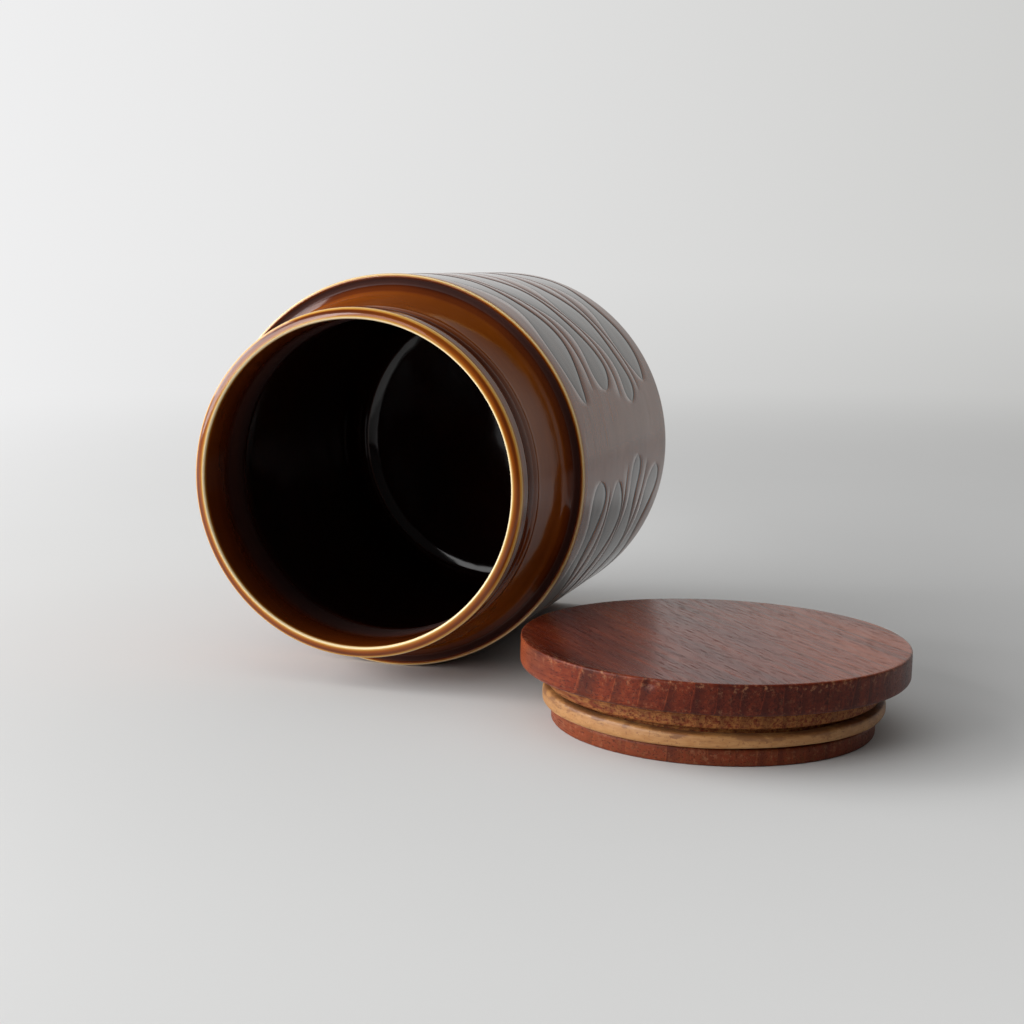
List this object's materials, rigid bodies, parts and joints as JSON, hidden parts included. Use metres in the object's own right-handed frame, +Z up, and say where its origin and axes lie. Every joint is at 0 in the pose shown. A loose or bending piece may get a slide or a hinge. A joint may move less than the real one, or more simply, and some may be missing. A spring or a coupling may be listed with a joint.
{
  "type": "ceramic canister",
  "caption": "Glazed ceramic kitchen storage jar lying on its side, with a turned wooden plug lid and its seal lying beside the mouth.",
  "frame": {"origin": "middle of the bottom of the whole object's box, on the surface that the jar and the lid lie on", "axes": "+Z up; the jar's axis lies along Y, its mouth towards -Y and its foot towards +Y; the lid lies at +X, top face up"},
  "size_m": [0.2, 0.1764, 0.1099],
  "materials": {
    "treacle_glaze": "gloss",
    "red_brown_wood": "satin",
    "amber_seal": "satin"
  },
  "bodies": {
    "jar": {"jar": "treacle_glaze"},
    "lid": {"lid": "red_brown_wood", "seal_ring": "amber_seal"}
  },
  "joints": [
    {"name": "lid_lift", "type": "slide", "parent": "jar", "child": "lid", "axis": [0.342, 0, 0.9397], "range_m": [0, 0.15]}
  ]
}
